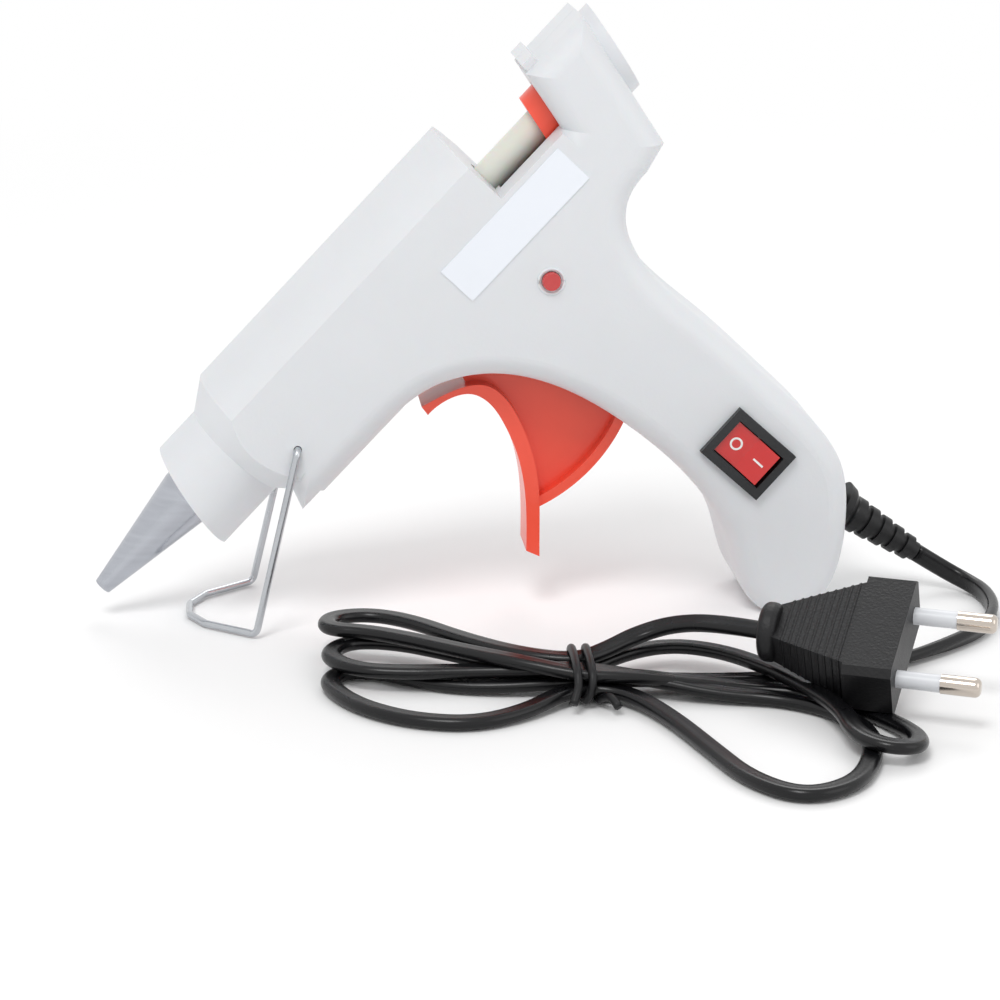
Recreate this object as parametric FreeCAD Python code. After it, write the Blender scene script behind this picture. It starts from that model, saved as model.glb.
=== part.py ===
import FreeCAD, Part
import math
import os
from FreeCAD import Placement, Rotation, Vector

# Hot-melt glue gun, standing on its wire stand and the foot of its grip.
# Millimetres. +Z is up, the nozzle points down and forward along -X, the gun's
# mid-plane is Y = 0, and the origin is under the middle of the gun, on the floor.
# Barrel stations: s runs back along the barrel axis from the nozzle's tip,
# n runs square to it in the mid-plane, towards the grip.

# ---- driving dimensions -------------------------------------------------
BARREL_ANGLE = 46.3          # the barrel axis above the floor, degrees
TIP_X, TIP_Z = -85.2, 7.0    # the nozzle's tip
HALF_WIDTH = 16.0            # half the thickness of the closed housing
WALL = 2.0                   # housing wall
SEAM = 0.1                   # gap between the two housing halves
EDGE_ROUND = 5.0             # rounding of the housing's long edges
RAKE = 13.0                  # lean of the nose face and of the rear face, degrees

BARREL_R = 18.75             # barrel cover, outside
BARREL_DROP = 2.5            # the cover's centre lies this far below the axis
BARREL_FRONT = 50.5          # s where the full barrel begins
BARREL_REAR = 125.0          # s of the window's front wall
NOSE_R = 12.4
NOSE_DROP = 0.6
NOSE_FRONT = 29.5            # s of the nose face on the axis
NOSE_STEP = 43.5             # s where the nose starts to swell
WINDOW_FLOOR = 2.3           # n of the window's lower edge
BLOCK_TOP = -11.4            # n of the top of the block behind the window
REAR_FACE = 162.0            # s of the rear face on the axis

STICK_R = 3.55               # glue stick
STICK_FRONT, STICK_REAR = 60.0, 150.0
STICK_CLEAR = 0.3            # radial room round the stick
NOZZLE_LENGTH = 28.5
NOZZLE_TIP_R = 2.0
NOZZLE_BASE_R = 6.7
ORIFICE_R = 1.0
CHAMBER_R = 7.0
CHAMBER_REAR = 84.0          # s where the melt chamber's thick part ends
SPIGOT_R = 4.9               # rear end of the chamber, inside the sleeve
SPIGOT_LENGTH = 8.0
SOCKET_R = 4.4               # screwed joint of nozzle and chamber
SLEEVE_R = 6.4
SLEEVE_REAR = 112.0
RING_R = 10.2                # inlet ring, outside
RING_NECK_R = 8.9
FLANGE_R = RING_NECK_R + 1.4  # held in a groove of the housing
RING_REAR = REAR_FACE + 2.8  # s of the ring's rear end on the axis
RING_FRONT = 155.6           # s of the ring's front end, inside the housing

CARRIER_R = 6.8
CARRIER_FRONT, CARRIER_REAR = 139.5, 155.0

PIVOT_S, PIVOT_N = 93.8, 22.0
PIVOT_PIN_R = 1.5
HUB_R = 2.6                  # the trigger's hub round the pivot pin
PIN_CLEAR = 0.06             # radial running clearance on every pin
TRIGGER_ARM = 16.0           # pivot to drive pins
TRIGGER_PULL = 26.0          # degrees
ARM_IN, ARM_OUT = 6.9, 9.1   # the two trigger arms, from the mid-plane
LINK_IN, LINK_OUT = 9.5, 11.5
LINK_HALF_HEIGHT = 1.7
DRIVE_PIN_R = 1.0
RIM_R = 39.6                 # the trigger's rear rim, from the pivot
SLOT_HALF = 6.6              # half the trigger slot's width
SLOT_FRONT = -15.6           # x of the slot's front end

SWITCH_X, SWITCH_Z = 57.3, 38.2
SWITCH_ANGLE = -42.0         # lean of the switch's long side
SWITCH_LONG, SWITCH_SHORT = 17.0, 13.0
BEZEL = 1.6                  # bezel's height above the housing
LED_S, LED_N, LED_R = 119.4, 22.6, 2.1

STAND_WIRE_R = 0.8
STAND_S, STAND_N = 55.3, 7.6     # where the stand's ends enter the housing
FOOT_X = -51.5               # the stand's lower corners
FOOT_REACH = 14.5            # from the corners to the foot's front
STAND_BEND = 1.7             # radius of the wire's bends

CORD_R = 2.1                 # the cord's tube
RELIEF_X, RELIEF_Z = 81.4, 21.2  # where the strain relief leaves the grip
RELIEF_DIP = 33.0            # its slope below level, degrees
RELIEF_LENGTH = 22.4
STUB_LENGTH = 13.0           # how far the cord reaches into the grip
RELIEF_R, RELIEF_TIP_R, RELIEF_NECK_R = 4.2, 2.9, 3.2
MIDDLE_X = 2.8               # puts the middle of the gun over the origin
SCREWS = [("s", 62.0, 14.4), ("s", 131.0, 18.5), ("s", 151.5, 18.5), ("x", 44.8, 56.0), ("x", 71.5, 9.0)]
BOSS_R = 3.0
SCREW_R = 1.2
SCREW_HEAD_R = 2.4
SCREW_BITE = 10.0            # depth of the screws in the left half
SCREW_SEAT = 8.0             # y of the face under the screw heads
PIN_HALF = HALF_WIDTH - WALL + 0.6   # half the pivot pin's length

AXIS = Placement(Vector(TIP_X, 0, TIP_Z), Rotation(Vector(0, 1, 0), 90 - BARREL_ANGLE))


def at(s, n, y=0.0):
    """A point given by its barrel station, in the gun's frame."""
    return AXIS.multVec(Vector(n, y, s))


def on_axis(shape):
    """Place a shape drawn with X = n and Z = s."""
    shape.Placement = AXIS.multiply(shape.Placement)
    return shape


def fuse(shapes):
    return shapes[0].fuse(shapes[1:]).removeSplitter()


def rod(radius, start, end):
    return Part.makeCylinder(radius, (end - start).Length, start, end - start)


def cross_rod(radius, x, z, y0, y1):
    return rod(radius, Vector(x, y0, z), Vector(x, y1, z))


def rod_s(radius, s0, s1, n=0.0):
    """A cylinder along the barrel axis."""
    return rod(radius, at(s0, n), at(s1, n))


def block_s(s0, s1, n0, n1, y0, y1):
    """A box square to the barrel axis."""
    return on_axis(Part.makeBox(n1 - n0, y1 - y0, s1 - s0, Vector(n0, y0, s0)))


def prism(wire, y0, y1):
    """A side outline in XZ, given thickness in Y."""
    face = Part.Face(wire)
    face.translate(Vector(0, y0, 0))
    return face.extrude(Vector(0, y1 - y0, 0))


def polygon(points):
    return Part.makePolygon([Vector(x, 0, z) for x, z in points + points[:1]])


def turned(profile):
    """A body of revolution about the barrel axis from (s, r) pairs."""
    wire = Part.makePolygon([Vector(r, 0, s) for s, r in profile + profile[:1]])
    return on_axis(Part.Face(wire).revolve(Vector(0, 0, 0), Vector(0, 0, 1), 360))


# ---- housing ------------------------------------------------------------
GRIP_CURVE = [(34.8, 100.3), (30.4, 89.0), (35.8, 78.2), (50.2, 65.2), (65.3, 51.3), (74.0, 42.6),
              (79.6, 33.6), (81.0, 22.0), (79.4, 10.0), (73.5, 0.8), (65.0, -0.9), (58.2, 4.6),
              (54.0, 17.0), (46.5, 30.0), (34.0, 41.9), (18.5, 52.0), (3.0, 56.5), (-12.0, 53.8), (-23.4, 44.8),
              (-32.0, 36.0), (-40.6, 27.0)]


def side_outline():
    """The side view of the body, the rear block and the grip."""
    curve = Part.BSplineCurve()
    curve.interpolate([Vector(x, 0, z) for x, z in GRIP_CURVE])
    lean = math.tan(math.radians(RAKE))
    corners = [at(52.0, WINDOW_FLOOR), at(144.5, WINDOW_FLOOR), at(147.6, BLOCK_TOP),
               at(REAR_FACE - lean * BLOCK_TOP, BLOCK_TOP), at(REAR_FACE - lean * 20.6, 20.6), curve.StartPoint]
    edges = [Part.makeLine(a, b) for a, b in zip(corners, corners[1:])]
    edges += [curve.toShape(), Part.makeLine(curve.EndPoint, corners[0])]
    return Part.Wire(edges)


def rounded_slab(wire, half, radius):
    slab = prism(wire, -half, half)
    rims = [e for e in slab.Edges if e.BoundBox.YLength < 1e-6 and abs(abs(e.BoundBox.YMin) - half) < 1e-6]
    return slab.makeFillet(radius, rims)


def inset(wire, depth):
    """The outline moved inwards, as a fine polygon."""
    points = wire.makeOffset2D(-depth).discretize(Distance=3.0)
    if (points[0] - points[-1]).Length < 1e-6:
        points.pop()
    return Part.makePolygon(points + points[:1])


def stepped_slab(wire, half):
    """The hollow inside the slab, stepped to follow its rounded edges."""
    core = prism(inset(wire, WALL), 2 * WALL - half, half - 2 * WALL)
    return core.fuse(prism(inset(wire, 2 * WALL), WALL - half, half - WALL))


def y_layer(y0, y1):
    return Part.makeBox(400, y1 - y0, 400, Vector(-200, y0, -200))


def behind_rake(s, depth=400):
    """Everything behind the leaning plane that crosses the axis at s."""
    box = Part.makeBox(400, 400, depth, Vector(-200, -200, 0))
    box.rotate(Vector(0, 0, 0), Vector(0, 1, 0), RAKE)
    box.translate(Vector(0, 0, s))
    return on_axis(box)


def barrel_cover(inset):
    """The nose, its swelling and the full barrel, shrunk by inset."""
    circles = [(NOSE_STEP, NOSE_R, NOSE_DROP), (BARREL_FRONT, BARREL_R, BARREL_DROP)]
    wires = [Part.Wire(Part.makeCircle(r - inset, Vector(n, 0, s), Vector(0, 0, 1))) for s, r, n in circles]
    swell = on_axis(Part.makeLoft(wires, True, True))
    nose = rod_s(NOSE_R - inset, NOSE_FRONT - 10, NOSE_STEP, NOSE_DROP).common(behind_rake(NOSE_FRONT + inset))
    barrel = rod_s(BARREL_R - inset, BARREL_FRONT, BARREL_REAR - inset, BARREL_DROP)
    return fuse([nose, swell, barrel]).common(y_layer(inset - HALF_WIDTH, HALF_WIDTH - inset))


def floor_side():
    return Part.makeBox(400, 400, 400, Vector(-200, -200, 0))


def screw_xz(screw):
    kind, a, b = screw
    if kind == "x":
        return a, b
    point = at(a, b)
    return point.x, point.z


def housing_solids():
    """Outside and inside of the closed housing."""
    outline = side_outline()
    ledge = block_s(148.2, 151.4, BLOCK_TOP - 1.8, BLOCK_TOP + 2, -HALF_WIDTH + EDGE_ROUND, HALF_WIDTH - EDGE_ROUND)
    sill = block_s(BARREL_REAR - 5, 144.0, WINDOW_FLOOR, 10, -HALF_WIDTH, HALF_WIDTH)
    solids = [barrel_cover(0), rounded_slab(outline, HALF_WIDTH, EDGE_ROUND), ledge, sill]
    outer = fuse(solids).common(floor_side())
    inner = barrel_cover(WALL).fuse(stepped_slab(outline, HALF_WIDTH))
    inner = inner.common(Part.makeBox(400, 400, 400, Vector(-200, -200, WALL)))
    return outer, inner


def cradle(s, n0, n1, bore, inner):
    """A rib across the hollow that holds a round piece on the axis."""
    rib = block_s(s, s + WALL, n0, n1, -HALF_WIDTH, HALF_WIDTH).common(inner)
    return rib.cut(rod_s(bore, s - 1, s + WALL + 1))


def switch_place(y):
    return Placement(Vector(SWITCH_X, y, SWITCH_Z), Rotation(Vector(0, 1, 0), -SWITCH_ANGLE))


def switch_box(long, short, y0, y1):
    box = Part.makeBox(long, y1 - y0, short, Vector(-long / 2, y0, -short / 2))
    box.Placement = switch_place(0).multiply(box.Placement)
    return box


def openings():
    """Everything that passes through the housing's wall."""
    pivot = at(PIVOT_S, PIVOT_N)
    slot = rod(RIM_R + 0.9, pivot + Vector(0, -SLOT_HALF, 0), pivot + Vector(0, SLOT_HALF, 0))
    slot = slot.common(Part.makeBox(100, 200, 62, Vector(SLOT_FRONT, -100, 0)))
    stand = at(STAND_S, STAND_N)
    cuts = [rod_s(NOZZLE_BASE_R + 0.3, 10, NOSE_STEP), slot,
            rod_s(CARRIER_R + 0.5, BARREL_REAR + 1, RING_REAR), rod_s(STICK_R + 1, BARREL_REAR - 5, BARREL_REAR + 2),
            rod_s(RING_NECK_R + 0.05, 150, RING_REAR + 10),
            rod_s(FLANGE_R + 0.05, RING_FRONT - 0.05, RING_FRONT + 1.65),
            cross_rod(HUB_R + 0.25, pivot.x, pivot.z, -ARM_OUT - 0.3, ARM_OUT + 0.3),
            switch_box(SWITCH_LONG - 2, SWITCH_SHORT - 2, -HALF_WIDTH - 1, WALL + 1 - HALF_WIDTH),
            rod(LED_R + 0.1, at(LED_S, LED_N, -HALF_WIDTH - 1), at(LED_S, LED_N, WALL + 1 - HALF_WIDTH)),
            cross_rod(STAND_WIRE_R + 0.1, stand.x, stand.z, -HALF_WIDTH - 1, HALF_WIDTH + 1),
            rod(RELIEF_NECK_R + 0.1, relief_point(-8), relief_point(8))]
    return fuse(cuts)


def screw_bosses(outer):
    """Pillars from the joint face to the left wall."""
    pillars = []
    for screw in SCREWS:
        x, z = screw_xz(screw)
        pillars.append(cross_rod(BOSS_R, x, z, -SEAM / 2, -HALF_WIDTH).common(outer))
    pivot = at(PIVOT_S, PIVOT_N)
    pillars.append(cross_rod(BOSS_R, pivot.x, pivot.z, -ARM_OUT - 0.3, -HALF_WIDTH).common(outer))
    stand = at(STAND_S, STAND_N)
    pillars.append(cross_rod(BOSS_R - 0.6, stand.x, stand.z, -CHAMBER_R - 3, -HALF_WIDTH).common(outer))
    return pillars


def fastener_cuts(side):
    """Pilot holes on the left, clearance holes and head pockets on the right, and the pivot pin's seat."""
    cuts = []
    for screw in SCREWS:
        x, z = screw_xz(screw)
        if side < 0:
            cuts.append(cross_rod(SCREW_R - 0.25, x, z, 1, -SCREW_BITE - 1))
        else:
            cuts.append(cross_rod(SCREW_R + 0.2, x, z, -1, HALF_WIDTH + 1))
            cuts.append(cross_rod(SCREW_HEAD_R + 0.2, x, z, SCREW_SEAT, HALF_WIDTH + 1))
    pivot = at(PIVOT_S, PIVOT_N)
    cuts.append(cross_rod(PIVOT_PIN_R, pivot.x, pivot.z, -side, side * PIN_HALF))
    stand = at(STAND_S, STAND_N)
    cuts.append(cross_rod(STAND_WIRE_R + 0.1, stand.x, stand.z, 0, side * (HALF_WIDTH + 1)))
    return cuts


def mirrored(shape):
    return shape.mirror(Vector(0, 0, 0), Vector(0, 1, 0))


def housing_halves():
    outer, inner = housing_solids()
    shell = outer.cut(inner)
    ribs = [cradle(46, -14, 20, CHAMBER_R, inner), cradle(77, -14, 8, CHAMBER_R, inner),
            cradle(107, -14, 3.5, SLEEVE_R, inner)]
    blank = shell.fuse(ribs).common(y_layer(-100, -SEAM / 2))
    bosses = screw_bosses(outer)
    halves = []
    for side in (-1, 1):
        half = blank if side < 0 else mirrored(blank)
        half = half.cut(openings()).fuse(bosses if side < 0 else [mirrored(boss) for boss in bosses])
        half = half.cut(rod_s(CHAMBER_R, 30, CHAMBER_REAR + 4)).cut(Part.makeCompound(fastener_cuts(side)))
        halves.append(half.removeSplitter())
    return halves


# ---- hot end and glue path ----------------------------------------------
def nozzle():
    hub_rear = NOZZLE_LENGTH + 7.5
    outside = [(0, 0), (0, NOZZLE_TIP_R), (NOZZLE_LENGTH, NOZZLE_BASE_R), (hub_rear, NOZZLE_BASE_R), (hub_rear, 0)]
    inside = [(-1, 0), (-1, ORIFICE_R), (6, ORIFICE_R), (NOZZLE_LENGTH - 2, 2.6), (NOZZLE_LENGTH - 2, SOCKET_R),
              (hub_rear + 1, SOCKET_R), (hub_rear + 1, 0)]
    return turned(outside).cut(turned(inside))


def melt_chamber():
    front = NOZZLE_LENGTH - 1.5
    step = NOZZLE_LENGTH + 7.7
    bore = STICK_R + STICK_CLEAR
    rear = CHAMBER_REAR + SPIGOT_LENGTH
    outside = [(front, 0), (front, SOCKET_R - PIN_CLEAR), (step, SOCKET_R - PIN_CLEAR), (step, CHAMBER_R),
               (CHAMBER_REAR, CHAMBER_R), (CHAMBER_REAR, SPIGOT_R), (rear, SPIGOT_R), (rear, 0)]
    inside = [(front - 1, 0), (front - 1, 1.8), (step + 3, 1.8), (step + 12, bore), (rear + 1, bore), (rear + 1, 0)]
    body = turned(outside).cut(turned(inside))
    return body.cut(block_s(HEATER_FRONT, HEATER_REAR, HEATER_SEAT, CHAMBER_R + 1, -10, 10))


def nose_collar():
    outside = rod_s(NOSE_R - WALL - 0.1, NOZZLE_LENGTH + 8.5, NOZZLE_LENGTH + 13, NOSE_DROP)
    return outside.cut(rod_s(CHAMBER_R + 0.05, 20, 60))


HEATER_FRONT, HEATER_REAR = 52.0, 72.0
HEATER_HALF = 5.5
HEATER_SEAT = 6.4            # n of the flat that the heater lies on
HEATER_THICK = 2.0
CLIP_THICK = 0.6


def heater_plate():
    return block_s(HEATER_FRONT, HEATER_REAR, HEATER_SEAT, HEATER_SEAT + HEATER_THICK, -HEATER_HALF, HEATER_HALF)


def heater_clip():
    """A spring strap round the chamber and the heater plate."""
    s0, s1 = HEATER_FRONT + 5, HEATER_REAR - 5
    half = CHAMBER_R + CLIP_THICK
    low = HEATER_SEAT + HEATER_THICK
    around = rod_s(half, s0, s1).common(block_s(s0, s1, -20, 2, -20, 20))
    legs = block_s(s0, s1, 2, low + CLIP_THICK, -half, half)
    window = block_s(s0 - 1, s1 + 1, 0, low, -CHAMBER_R, CHAMBER_R)
    return fuse([around, legs]).cut([window, rod_s(CHAMBER_R, s0 - 1, s1 + 1)])


def inlet_sleeve():
    front = CHAMBER_REAR + 0.2
    seat = CHAMBER_REAR + SPIGOT_LENGTH + 0.2
    bore = STICK_R + STICK_CLEAR
    outside = [(front, 0), (front, SLEEVE_R), (SLEEVE_REAR, SLEEVE_R), (SLEEVE_REAR, 0)]
    inside = [(front - 1, 0), (front - 1, SPIGOT_R), (seat, SPIGOT_R), (seat, bore), (SLEEVE_REAR + 1, bore),
              (SLEEVE_REAR + 1, 0)]
    return turned(outside).cut(turned(inside))


def sleeve_clamp():
    s0, s1 = CHAMBER_REAR + 1.5, CHAMBER_REAR + 5.5
    band = rod_s(SLEEVE_R + 0.7, s0, s1).cut(rod_s(SLEEVE_R, s0 - 1, s1 + 1))
    ears = block_s(s0, s1, -SLEEVE_R - 3.2, -SLEEVE_R - 0.4, -1.6, 1.6)
    return fuse([band, ears]).cut(block_s(s0 - 1, s1 + 1, -SLEEVE_R - 4, -SLEEVE_R + 1, -0.4, 0.4))


def glue_stick():
    return rod_s(STICK_R, STICK_FRONT, STICK_REAR)


def inlet_ring():
    """The round collar at the rear, its neck held between the housing halves."""
    rear = RING_REAR
    lip = rod_s(RING_R, 140, rear + 10).common(behind_rake(REAR_FACE)).cut(behind_rake(rear))
    neck = rod_s(RING_NECK_R, RING_FRONT, rear + 5).cut(behind_rake(rear - 0.1))
    flange = rod_s(FLANGE_R, RING_FRONT, RING_FRONT + 1.6)
    flare = turned([(rear - 5, 0), (rear - 5, INLET_R), (rear + 4, INLET_R + 4), (rear + 4, 0)])
    return fuse([lip, neck, flange]).cut(rod_s(INLET_R, 140, rear + 10)).cut(flare)


# ---- trigger and feed ---------------------------------------------------
INLET_R = 3.9
REST_LEAN = TRIGGER_PULL / 2
FEED_TRAVEL = 2 * TRIGGER_ARM * math.sin(math.radians(REST_LEAN))
LINK_N = PIVOT_N - TRIGGER_ARM * math.cos(math.radians(REST_LEAN))
DRIVE_S = PIVOT_S + TRIGGER_ARM * math.sin(math.radians(REST_LEAN))
PEG_S = CARRIER_REAR - 5.0
FINGER_HALF = 6.0
WEB_HALF = 1.5
RIM_HALF = 4.6
FINGER_FRONT = [(-12.4, 46.1), (-7.5, 49.7), (-2.3, 50.5), (1.2, 48.4), (4.6, 43.4), (7.3, 37.0), (8.9, 30.0),
                (9.5, 22.5), (9.5, 14.0)]
FINGER_REAR = [(12.5, 12.6), (12.5, 22.6), (12.0, 31.0), (10.2, 38.6), (7.4, 45.4), (4.0, 50.2), (0.6, 52.4),
               (-4.5, 52.2), (-13.8, 48.0)]


def spline(points):
    curve = Part.BSplineCurve()
    curve.interpolate([Vector(x, 0, z) for x, z in points])
    return curve.toShape()


def ring_sector(center, r0, r1, half, x_min, z_max, z_min):
    tube = cross_rod(r1, center.x, center.z, -half, half).cut(cross_rod(r0, center.x, center.z, -half - 1, half + 1))
    return tube.common(Part.makeBox(200, 200, z_max - z_min, Vector(x_min, -100, z_min)))


def trigger():
    pivot = at(PIVOT_S, PIVOT_N)
    front, rear = spline(FINGER_FRONT), spline(FINGER_REAR)
    ends = [Part.makeLine(front.Vertexes[-1].Point, rear.Vertexes[0].Point),
            Part.makeLine(rear.Vertexes[-1].Point, front.Vertexes[0].Point)]
    finger = prism(Part.Wire([front, ends[0], rear, ends[1]]), -FINGER_HALF, FINGER_HALF)
    rim = ring_sector(pivot, RIM_R - 2.2, RIM_R, RIM_HALF, 12.0, 46.5, 18.0)
    web = cross_rod(RIM_R - 1, pivot.x, pivot.z, -WEB_HALF, WEB_HALF)
    web = web.common(prism(polygon([(pivot.x - 3, pivot.z), (pivot.x + 3, pivot.z + 2), (40, 46.5), (40, 18.0),
                                    (11.0, 18.0), (11.0, 30), (8.6, 38.6), (4.0, 47.5), (-3.0, 51.0)]), -2, 2))
    hub = cross_rod(HUB_R, pivot.x, pivot.z, -ARM_OUT, ARM_OUT)
    parts = [finger, rim, web, hub]
    drive = at(DRIVE_S, LINK_N)
    bar = (pivot + drive) * 0.5
    for side in (-1, 1):
        arm = prism(arm_outline(pivot, drive), *sorted((side * ARM_IN, side * ARM_OUT)))
        parts += [arm, cross_rod(2.4, drive.x, drive.z, side * ARM_IN, side * ARM_OUT),
                  cross_rod(DRIVE_PIN_R, drive.x, drive.z, side * ARM_IN, side * (LINK_OUT + 0.4))]
    parts.append(cross_rod(1.2, bar.x, bar.z, -ARM_IN, ARM_IN))
    return fuse(parts).cut(cross_rod(PIVOT_PIN_R + PIN_CLEAR, pivot.x, pivot.z, -20, 20))


def arm_outline(a, b, half=2.4):
    along = (b - a).normalize()
    across = Vector(along.z, 0, -along.x) * half
    corners = [a - across, a + across, b + across, b - across]
    return Part.makePolygon(corners + corners[:1])


def pivot_pin():
    pivot = at(PIVOT_S, PIVOT_N)
    return cross_rod(PIVOT_PIN_R, pivot.x, pivot.z, -PIN_HALF, PIN_HALF)


def return_spring():
    """A tension spring from the trigger's cross bar back to a post."""
    pivot, drive = at(PIVOT_S, PIVOT_N), at(DRIVE_S, LINK_N)
    start = (pivot + drive) * 0.5
    end = spring_post_point()
    along = end - start
    length = along.Length - 5.0
    helix = Part.makeHelix(length / 16, length, 1.7)
    wire = Part.makeCircle(0.3, Vector(1.7, 0, 0), Vector(0, 1, 0))
    coil = Part.Wire(helix).makePipeShell([Part.Wire(wire)], True, True)
    coil.Placement = Placement(start + along.normalize() * 2.5, Rotation(Vector(0, 0, 1), along))
    return coil


def spring_post_point():
    return at(118.0, 15.0)


def spring_post():
    post = spring_post_point()
    return cross_rod(1.2, post.x, post.z, -HALF_WIDTH + WALL, HALF_WIDTH - WALL)


def stick_carrier():
    collar = rod_s(CARRIER_R, CARRIER_FRONT - 5, CARRIER_REAR).common(behind_rake(CARRIER_FRONT + 1.5))
    lug = block_s(PEG_S - 3, CARRIER_REAR, LINK_N - 1.7, LINK_N + 2.4, 0.3 - LINK_IN, LINK_IN - 0.3)
    peg = at(PEG_S, LINK_N)
    pegs = cross_rod(1.2, peg.x, peg.z, -LINK_OUT - 0.2, LINK_OUT + 0.2)
    body = fuse([collar, lug, pegs]).cut(rod_s(STICK_R + STICK_CLEAR, 120, 160))
    body = body.cut(block_s(GRIP_S - 6.0, GRIP_S + 2.2, 2.5, 14, -GRIP_HALF - 0.2, GRIP_HALF + 0.2))
    pin = at(GRIP_S, GRIP_N)
    return body.cut(cross_rod(GRIP_PIN_R, pin.x, pin.z, -4.5, 4.5))


GRIP_S, GRIP_N = 151.0, 7.4
GRIP_PIN_R = 0.7
GRIP_HALF = 1.8
GRIP_SWING = 9.0


def stick_gripper():
    """A toothed lever that bites the stick when the carrier is pulled."""
    pin = at(GRIP_S, GRIP_N)
    hub = cross_rod(1.5, pin.x, pin.z, -GRIP_HALF, GRIP_HALF)
    nose = [at(GRIP_S + 0.8, GRIP_N - 1.2), at(GRIP_S - 4.2, GRIP_N - 2.7), at(GRIP_S - 5.0, GRIP_N - 1.2),
            at(GRIP_S - 4.6, GRIP_N + 0.6), at(GRIP_S, GRIP_N + 1.4)]
    lever = prism(Part.makePolygon(nose + nose[:1]), -GRIP_HALF, GRIP_HALF)
    return fuse([hub, lever]).cut(cross_rod(GRIP_PIN_R + PIN_CLEAR, pin.x, pin.z, -5, 5))


def gripper_pin():
    pin = at(GRIP_S, GRIP_N)
    return cross_rod(GRIP_PIN_R, pin.x, pin.z, -4.5, 4.5)


def feed_links():
    """Two flat bars from the trigger's drive pins to the carrier's pegs."""
    bars = []
    for side in (-1, 1):
        y0, y1 = sorted((side * LINK_IN, side * LINK_OUT))
        bar = block_s(DRIVE_S - 3.4, PEG_S + 3, LINK_N - LINK_HALF_HEIGHT, LINK_N + LINK_HALF_HEIGHT, y0, y1)
        lift = TRIGGER_ARM * (1 - math.cos(math.radians(REST_LEAN))) + 0.05
        drive = at(DRIVE_S, LINK_N - lift / 2)
        slot = [cross_rod(DRIVE_PIN_R + PIN_CLEAR, at(DRIVE_S, n).x, at(DRIVE_S, n).z, -20, 20)
                for n in (LINK_N - lift, LINK_N)]
        gap = DRIVE_PIN_R + PIN_CLEAR
        slot.append(block_s(DRIVE_S - gap, DRIVE_S + gap, LINK_N - lift, LINK_N, -20, 20))
        peg = at(PEG_S, LINK_N)
        bars.append(bar.cut(fuse(slot)).cut(cross_rod(1.2 + PIN_CLEAR, peg.x, peg.z, -20, 20)))
    return Part.makeCompound(bars)


# ---- electrics ----------------------------------------------------------
ROCKER_HALF = 4.1            # half the rocker's width
ROCKER_REST = 9.0            # the rocker's lean either way, degrees
ROCKER_AXLE_Y = -HALF_WIDTH + 1.4
SWITCH_BACK = -4.0           # y of the switch's rear face


def switch_body():
    flange = switch_box(SWITCH_LONG, SWITCH_SHORT, -HALF_WIDTH - BEZEL, -HALF_WIDTH)
    body = switch_box(SWITCH_LONG - 2.0, SWITCH_SHORT - 2.0, -HALF_WIDTH, SWITCH_BACK)
    well = switch_box(13.3, 2 * ROCKER_HALF + 0.6, -HALF_WIDTH - BEZEL - 1, -HALF_WIDTH + 6)
    return fuse([flange, body]).cut(well).cut(rocker_axle(0.7 + PIN_CLEAR, ROCKER_HALF + 1.0))


def rocker_axle(radius, half):
    axle = Part.makeCylinder(radius, 2 * half, Vector(0, ROCKER_AXLE_Y, -half), Vector(0, 0, 1))
    axle.Placement = switch_place(0).multiply(axle.Placement)
    return axle


def switch_rocker():
    """The rocker with its O half pressed in and its I half standing out."""
    profile = [(-6.0, 1.8), (0.0, 1.0), (6.0, 1.8), (5.8, -0.8), (2.2, -2.8), (-2.2, -2.8), (-5.8, -0.8)]
    wire = Part.makePolygon([Vector(x, -HALF_WIDTH - out, -ROCKER_HALF) for x, out in profile + profile[:1]])
    block = Part.Face(wire).extrude(Vector(0, 0, 2 * ROCKER_HALF))
    block.rotate(Vector(0, ROCKER_AXLE_Y, 0), Vector(0, 0, 1), -ROCKER_REST)
    block.Placement = switch_place(0).multiply(block.Placement)
    return fuse([block, rocker_axle(0.7, ROCKER_HALF + 0.9)])


def switch_terminals():
    blades = []
    for x in (-4.5, 0.0, 4.5):
        blade = Part.makeBox(0.8, 6.0, 4.8, Vector(x - 0.4, SWITCH_BACK, -2.4))
        blade.Placement = switch_place(0).multiply(blade.Placement)
        blades.append(blade)
    return Part.makeCompound(blades)


def switch_point(x, z, y):
    return switch_place(0).multVec(Vector(x, y, z))


def wire_run(points, radius=0.6):
    """An insulated wire along straight runs, its corners filled with balls."""
    runs = [rod(radius, a, b) for a, b in zip(points, points[1:])]
    return fuse(runs + [Part.makeSphere(radius, p) for p in points[1:-1]])


def supply_wires():
    """From the cord's end to two of the switch's blades."""
    live = [relief_point(-STUB_LENGTH, 1.1), Vector(69, 1.4, 29), switch_point(4.5, 0, 2.6)]
    neutral = [relief_point(-STUB_LENGTH, -1.1), Vector(70, -2.6, 24), Vector(62, -2.6, 22), Vector(52, 4.6, 34),
               switch_point(-4.5, 0, 4.0), switch_point(-4.5, 0, 2.6)]
    return Part.makeCompound([wire_run(live), wire_run(neutral)])


def heater_wires():
    """From the switch, over the trigger's travel and along the left wall to the heater plate."""
    runs = []
    heater_n = HEATER_SEAT + HEATER_THICK / 2
    for x, n, s_end in ((0.0, 11.4, HEATER_REAR - 1), (-4.5, 9.4, HEATER_REAR - 3)):
        y = 6.0 + x / 2
        lead = [switch_point(x, 1.6, 2.6), switch_point(x, 1.6, y), Vector(50 + x / 3, y, 44.5),
                Vector(40.5, y, 52.0), Vector(39.8, y, 57.5), at(138 + x / 2, 14.2, y - 9), at(130, n + 2.6, -12.9),
                at(118, n, -12.9), at(80, n, -12.9), at(s_end, heater_n, -HEATER_HALF - 3),
                at(s_end, heater_n, -HEATER_HALF)]
        runs.append(wire_run(lead))
    return Part.makeCompound(runs)


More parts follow.
